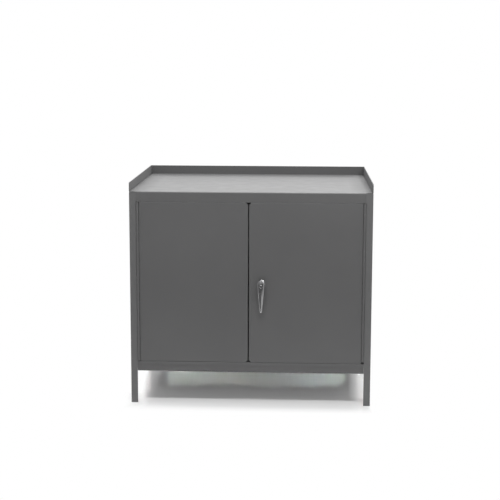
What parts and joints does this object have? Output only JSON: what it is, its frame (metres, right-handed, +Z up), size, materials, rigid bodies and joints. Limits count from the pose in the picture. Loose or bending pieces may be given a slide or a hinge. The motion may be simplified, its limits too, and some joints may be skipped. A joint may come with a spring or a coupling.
{
  "type": "workbench with cabinet doors",
  "caption": "Free-standing steel bench cabinet with a lipped worktop, flush hinged doors, a lever handle with a key lock that throws latch rods, and an inner shelf.",
  "frame": {"origin": "on the floor, below the centre of the plan box that runs from the lever's face to the back lip", "axes": "+Z up, +X to the right as seen from the front, -Y towards the person who opens the doors"},
  "size_m": [0.9144, 0.646, 0.855],
  "materials": {
    "grey_paint": "satin grey powder coat",
    "chrome": "polished chrome plate",
    "zinc_steel": "zinc-plated steel"
  },
  "bodies": {
    "cabinet": {"back_panel": "grey_paint", "base_shelf": "grey_paint", "header_rail": "grey_paint", "hinge_stile_left": "grey_paint", "hinge_stile_right": "grey_paint", "left_hinge_frame_leaf": "grey_paint", "left_hinge_pin": "zinc_steel", "leg_front_left": "grey_paint", "leg_front_right": "grey_paint", "leg_rear_left": "grey_paint", "leg_rear_right": "grey_paint", "mid_shelf": "grey_paint", "right_hinge_frame_leaf": "grey_paint", "right_hinge_pin": "zinc_steel", "shelf_clip_front_left": "zinc_steel", "shelf_clip_front_right": "zinc_steel", "shelf_clip_rear_left": "zinc_steel", "shelf_clip_rear_right": "zinc_steel", "shelf_standard_front_left": "zinc_steel", "shelf_standard_front_right": "zinc_steel", "shelf_standard_rear_left": "zinc_steel", "shelf_standard_rear_right": "zinc_steel", "side_panel_left": "grey_paint", "side_panel_right": "grey_paint", "sill_stop": "grey_paint", "toe_rail": "grey_paint", "worktop": "grey_paint", "worktop_stiffener": "grey_paint"},
    "left_door": {"left_door_pan": "grey_paint", "left_door_stiffener": "grey_paint", "left_hinge_door_leaf": "grey_paint", "left_top_bolt_bracket": "grey_paint", "left_bottom_bolt_bracket": "grey_paint"},
    "right_door": {"right_door_pan": "grey_paint", "right_door_stiffener": "grey_paint", "right_hinge_door_leaf": "grey_paint", "handle_collar": "chrome", "collar_nut": "zinc_steel", "top_rod_guide": "grey_paint", "bottom_rod_guide": "grey_paint"},
    "handle": {"handle_lever": "chrome", "handle_spindle": "zinc_steel", "latch_cam": "zinc_steel"},
    "lock_plug": {"lock_plug": "chrome"},
    "top_rod": {"top_rod": "zinc_steel"},
    "bottom_rod": {"bottom_rod": "zinc_steel"},
    "left_top_bolt": {"left_top_bolt": "zinc_steel"},
    "left_bottom_bolt": {"left_bottom_bolt": "zinc_steel"}
  },
  "joints": [
    {"name": "left_door_swing", "type": "hinge", "parent": "cabinet", "child": "left_door", "pos_m": [-0.4265, -0.291, 0.472], "axis": [0, 0, -1], "range_deg": [0, 170]},
    {"name": "right_door_swing", "type": "hinge", "parent": "cabinet", "child": "right_door", "pos_m": [0.4265, -0.291, 0.472], "axis": [0, 0, 1], "range_deg": [0, 170]},
    {"name": "handle_turn", "type": "hinge", "parent": "right_door", "child": "handle", "pos_m": [0.0407, -0.291, 0.467], "axis": [0, -1, 0], "range_deg": [0, 90]},
    {"name": "lock_plug_turn", "type": "hinge", "parent": "handle", "child": "lock_plug", "pos_m": [0.0407, -0.291, 0.467], "axis": [0, -1, 0], "range_deg": [0, 90]},
    {"name": "top_rod_slide", "type": "slide", "parent": "right_door", "child": "top_rod", "axis": [0, 0, 1], "range_m": [0, 0.0227]},
    {"name": "bottom_rod_slide", "type": "slide", "parent": "right_door", "child": "bottom_rod", "axis": [0, 0, -1], "range_m": [0, 0.0227]},
    {"name": "left_top_bolt_slide", "type": "slide", "parent": "left_door", "child": "left_top_bolt", "axis": [0, 0, 1], "range_m": [0, 0.014]},
    {"name": "left_bottom_bolt_slide", "type": "slide", "parent": "left_door", "child": "left_bottom_bolt", "axis": [0, 0, -1], "range_m": [0, 0.014]}
  ],
  "couplings": [
    {"joint": "top_rod_slide", "follows": "handle_turn", "m_per_rad": 0.0144},
    {"joint": "bottom_rod_slide", "follows": "handle_turn", "m_per_rad": 0.0144}
  ]
}
